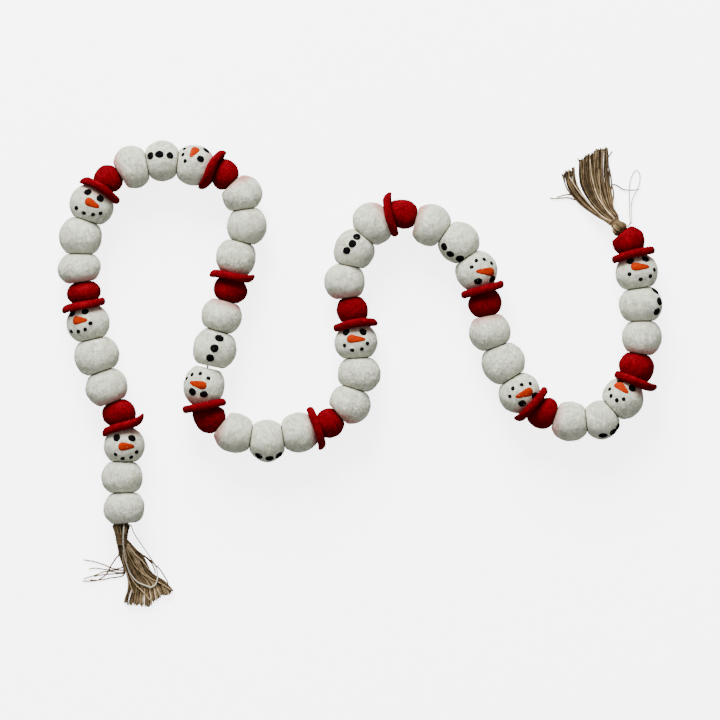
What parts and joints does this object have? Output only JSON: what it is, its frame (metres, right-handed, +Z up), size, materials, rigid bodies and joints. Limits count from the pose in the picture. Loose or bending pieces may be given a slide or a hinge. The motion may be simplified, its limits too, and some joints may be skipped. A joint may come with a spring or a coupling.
{
  "type": "felt snowman garland",
  "caption": "Garland of felted wool snowmen with red felt hats threaded on a cotton cord, laid out in curves, with a jute tassel and a hanging loop at each end.",
  "frame": {"origin": "on the surface it lies on, under the middle of the box of everything but the two hanging loops", "axes": "+X to the right along the garland's widest spread, +Y to the top of the laid-out curves, +Z up from the surface"},
  "size_m": [0.614, 0.4713, 0.0441],
  "materials": {
    "white_felt": "matte",
    "red_felt": "matte",
    "black_felt": "matte",
    "orange_felt": "matte",
    "jute": "matte",
    "cotton_cord": "matte"
  },
  "bodies": {
    "root": {"snowman_01_bottom": "white_felt", "snowman_01_middle": "white_felt", "snowman_01_head": "white_felt", "snowman_01_hat": "red_felt", "snowman_02_bottom": "white_felt", "snowman_02_middle": "white_felt", "snowman_02_head": "white_felt", "snowman_02_hat": "red_felt", "snowman_03_bottom": "white_felt", "snowman_03_middle": "white_felt", "snowman_03_head": "white_felt", "snowman_03_hat": "red_felt", "snowman_04_bottom": "white_felt", "snowman_04_middle": "white_felt", "snowman_04_head": "white_felt", "snowman_04_hat": "red_felt", "snowman_05_bottom": "white_felt", "snowman_05_middle": "white_felt", "snowman_05_head": "white_felt", "snowman_05_hat": "red_felt", "snowman_06_bottom": "white_felt", "snowman_06_middle": "white_felt", "snowman_06_head": "white_felt", "snowman_06_hat": "red_felt", "snowman_07_bottom": "white_felt", "snowman_07_middle": "white_felt", "snowman_07_head": "white_felt", "snowman_07_hat": "red_felt", "snowman_08_bottom": "white_felt", "snowman_08_middle": "white_felt", "snowman_08_head": "white_felt", "snowman_08_hat": "red_felt", "snowman_09_bottom": "white_felt", "snowman_09_middle": "white_felt", "snowman_09_head": "white_felt", "snowman_09_hat": "red_felt", "snowman_10_bottom": "white_felt", "snowman_10_middle": "white_felt", "snowman_10_head": "white_felt", "snowman_10_hat": "red_felt", "snowman_11_bottom": "white_felt", "snowman_11_middle": "white_felt", "snowman_11_head": "white_felt", "snowman_11_hat": "red_felt", "snowman_12_bottom": "white_felt", "snowman_12_middle": "white_felt", "snowman_12_head": "white_felt", "snowman_12_hat": "red_felt", "snowman_13_bottom": "white_felt", "snowman_13_middle": "white_felt", "snowman_13_head": "white_felt", "snowman_13_hat": "red_felt", "threading_cord": "cotton_cord", "tassel_first": "jute", "tassel_last": "jute", "loop_first": "cotton_cord", "loop_last": "cotton_cord"}
  },
  "joints": []
}
